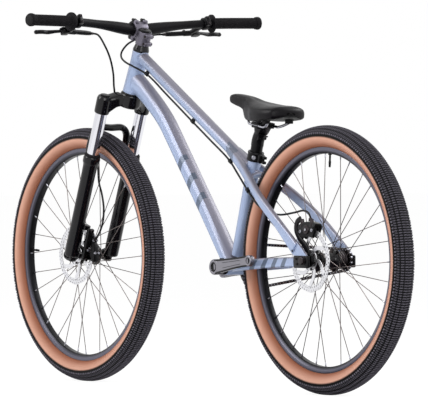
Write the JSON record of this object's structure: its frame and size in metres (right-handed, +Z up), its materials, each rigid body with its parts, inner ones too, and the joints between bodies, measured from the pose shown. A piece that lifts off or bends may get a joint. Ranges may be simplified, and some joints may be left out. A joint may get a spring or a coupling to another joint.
{
  "type": "dirt jump bike",
  "caption": "Dirt jump bicycle with a low sloping frame, short travel fork, disc brakes, single-speed chain drive and tan-wall tyres.",
  "frame": {"origin": "on the ground, midway between the wheel axles, in the bicycle's middle plane", "axes": "+X forward, +Y to the rider's left, +Z up"},
  "size_m": [1.744, 0.7384, 0.9734],
  "materials": {
    "frame_paint": "gloss light blue-grey paint",
    "fork_paint": "gloss black paint",
    "black_alloy": "black anodised, satin",
    "rim_alloy": "dark anodised, semi-gloss",
    "grey_alloy": "grey anodised, satin",
    "crank_alloy": "silver anodised, satin",
    "rotor_steel": "brushed steel",
    "bright_steel": "bright steel",
    "dark_steel": "dark steel",
    "stanchion_chrome": "hard chrome, polished",
    "tyre_rubber": "black tread with tan sidewalls",
    "grip_rubber": "matt black rubber",
    "cover_leather": "black synthetic leather, slightly glossy",
    "shell_plastic": "matt black moulded plastic",
    "hose_plastic": "black plastic hose"
  },
  "bodies": {
    "frame": {"head_tube": "frame_paint", "top_tube": "frame_paint", "down_tube": "frame_paint", "seat_tube": "frame_paint", "bottom_bracket_shell": "frame_paint", "chainstay_left": "frame_paint", "chainstay_right": "frame_paint", "seatstay_left": "frame_paint", "seatstay_right": "frame_paint", "dropout_left": "black_alloy", "dropout_right": "black_alloy", "bottom_bracket": "black_alloy", "headset_upper": "black_alloy", "headset_lower": "black_alloy", "seat_collar": "black_alloy", "rear_axle": "dark_steel", "chain": "dark_steel", "rear_caliper_bracket": "black_alloy", "rear_caliper": "black_alloy", "rear_hose": "hose_plastic"},
    "seatpost": {"seatpost": "black_alloy"},
    "saddle": {"saddle_clamp": "black_alloy", "saddle_rails": "bright_steel", "saddle_shell": "shell_plastic", "saddle_cover": "cover_leather"},
    "steering": {"steerer": "black_alloy", "fork_crown": "fork_paint", "stanchion_left": "stanchion_chrome", "stanchion_right": "stanchion_chrome", "stem": "grey_alloy", "stem_faceplate": "black_alloy", "top_cap": "black_alloy", "handlebar": "black_alloy", "grip_left": "grip_rubber", "grip_right": "grip_rubber", "brake_clamp_left": "black_alloy", "brake_clamp_right": "black_alloy", "front_hose": "hose_plastic"},
    "lever_left": {"brake_lever_left": "black_alloy"},
    "lever_right": {"brake_lever_right": "black_alloy"},
    "fork_lower": {"fork_lowers": "fork_paint", "front_axle": "dark_steel", "front_caliper": "black_alloy", "fork_air_piston": "bright_steel"},
    "front_wheel": {"front_tyre": "tyre_rubber", "front_rim": "rim_alloy", "front_spokes_left": "bright_steel", "front_spokes_right": "bright_steel", "front_hub": "black_alloy", "front_rotor": "rotor_steel"},
    "rear_wheel": {"rear_tyre": "tyre_rubber", "rear_rim": "rim_alloy", "rear_spokes_left": "bright_steel", "rear_spokes_right": "bright_steel", "rear_hub": "black_alloy", "rear_rotor": "rotor_steel"},
    "cog": {"rear_cog": "dark_steel"},
    "crank": {"crank_left": "crank_alloy", "crank_right": "crank_alloy", "chainring": "black_alloy"}
  },
  "joints": [
    {"name": "steering_turn", "type": "hinge", "parent": "frame", "child": "steering", "pos_m": [0.49364, 0, 0.32112], "axis": [-0.3584, 0, 0.9336], "range_deg": [-75, 75], "deforming": ["rear_hose"]},
    {"name": "fork_slide", "type": "slide", "parent": "steering", "child": "fork_lower", "axis": [-0.3584, 0, 0.9336], "range_m": [0, 0.1], "stiffness_N_per_m": 9000, "springref_m": -0.012, "deforming": ["front_hose"]},
    {"name": "front_wheel_spin", "type": "hinge", "parent": "fork_lower", "child": "front_wheel", "pos_m": [0.535, 0, 0.337], "axis": [0, 1, 0], "continuous": true},
    {"name": "rear_wheel_spin", "type": "hinge", "parent": "frame", "child": "rear_wheel", "pos_m": [-0.535, 0, 0.337], "axis": [0, 1, 0], "continuous": true},
    {"name": "crank_spin", "type": "hinge", "parent": "frame", "child": "crank", "pos_m": [-0.14677, 0, 0.315], "axis": [0, 1, 0], "continuous": true},
    {"name": "cog_spin", "type": "hinge", "parent": "frame", "child": "cog", "pos_m": [-0.535, 0, 0.337], "axis": [0, 1, 0], "continuous": true},
    {"name": "lever_left_pull", "type": "hinge", "parent": "steering", "child": "lever_left", "pos_m": [0.32922, 0.212, 0.92539], "axis": [0.4067, 0, 0.9135], "range_deg": [0, 20], "stiffness_Nm_per_rad": 0.6, "springref_deg": -20.05},
    {"name": "lever_right_pull", "type": "hinge", "parent": "steering", "child": "lever_right", "pos_m": [0.32922, -0.212, 0.92539], "axis": [-0.4067, 0, -0.9135], "range_deg": [0, 20], "stiffness_Nm_per_rad": 0.6, "springref_deg": -20.05},
    {"name": "seatpost_slide", "type": "slide", "parent": "frame", "child": "seatpost", "axis": [-0.2857, 0, 0.9583], "range_m": [-0.015, 0.08]},
    {"name": "saddle_tilt", "type": "hinge", "parent": "seatpost", "child": "saddle", "pos_m": [-0.25712, 0, 0.64315], "axis": [0, 1, 0], "range_deg": [-10, 10]}
  ],
  "couplings": [
    {"joint": "cog_spin", "follows": "crank_spin", "ratio": 2.1538}
  ]
}
